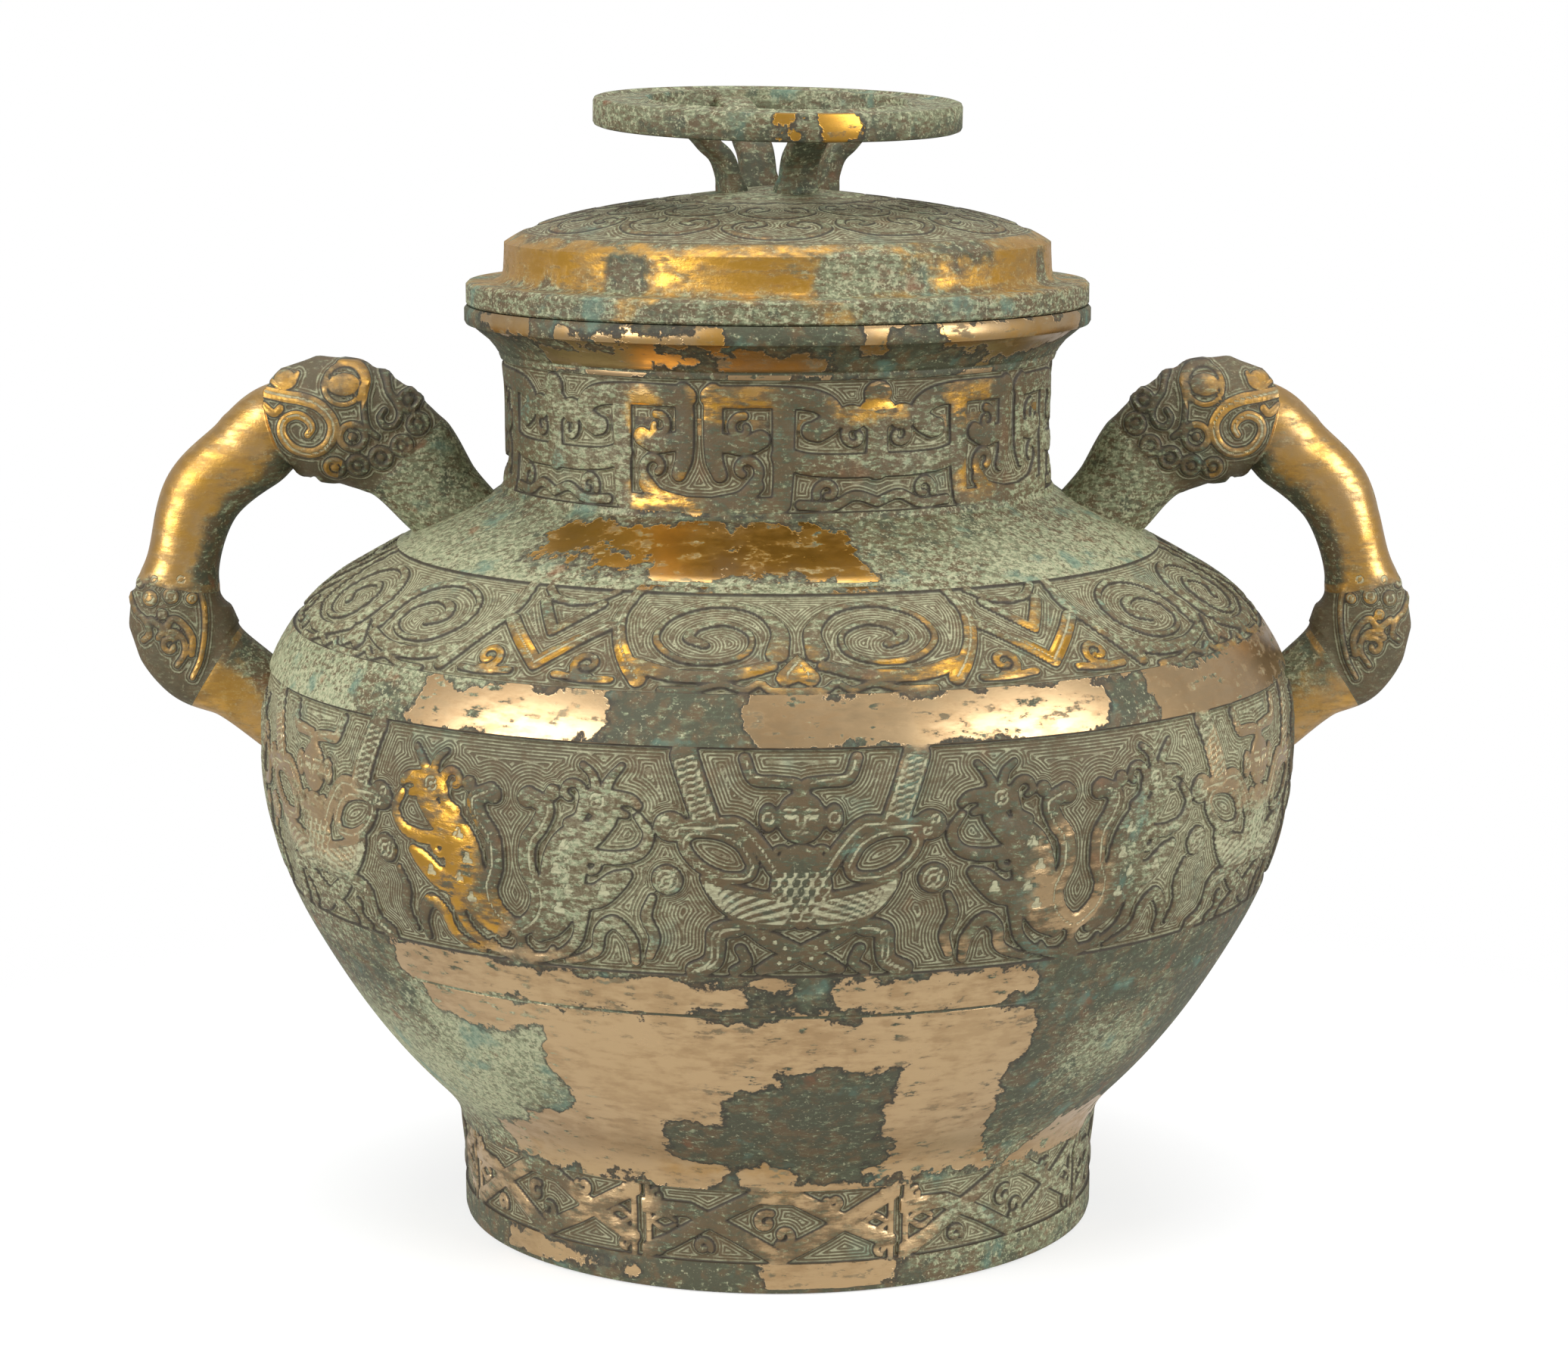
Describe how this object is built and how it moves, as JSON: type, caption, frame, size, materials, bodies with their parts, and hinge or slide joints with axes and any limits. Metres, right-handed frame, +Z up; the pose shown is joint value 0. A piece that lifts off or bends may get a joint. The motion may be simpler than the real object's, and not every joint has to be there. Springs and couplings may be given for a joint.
{
  "type": "gilt bronze lidded jar",
  "caption": "Gilt bronze ritual jar with carved bands, beast-head loop handles and a stepped lid with a ring knob on flared struts, worn gilding over green patina",
  "frame": {"origin": "centre of the foot ring's underside", "axes": "+Z up; the front, as pictured, faces -Y; +X runs through the right handle"},
  "size_m": [0.4041, 0.3256, 0.3537],
  "materials": {
    "body_bronze": "cast and chased bronze, worn gilding in broad patches over brown metal and matt green patina",
    "handle_bronze": "cast bronze, bright rubbed gilding on the arch, brown and green patina on the heads and roots",
    "lid_bronze": "cast bronze, green crust on the knob and flange, rubbed gilding on the step"
  },
  "bodies": {
    "root": {"jar_body": "body_bronze", "handle_left": "handle_bronze", "handle_right": "handle_bronze", "lid": "lid_bronze"}
  },
  "joints": []
}
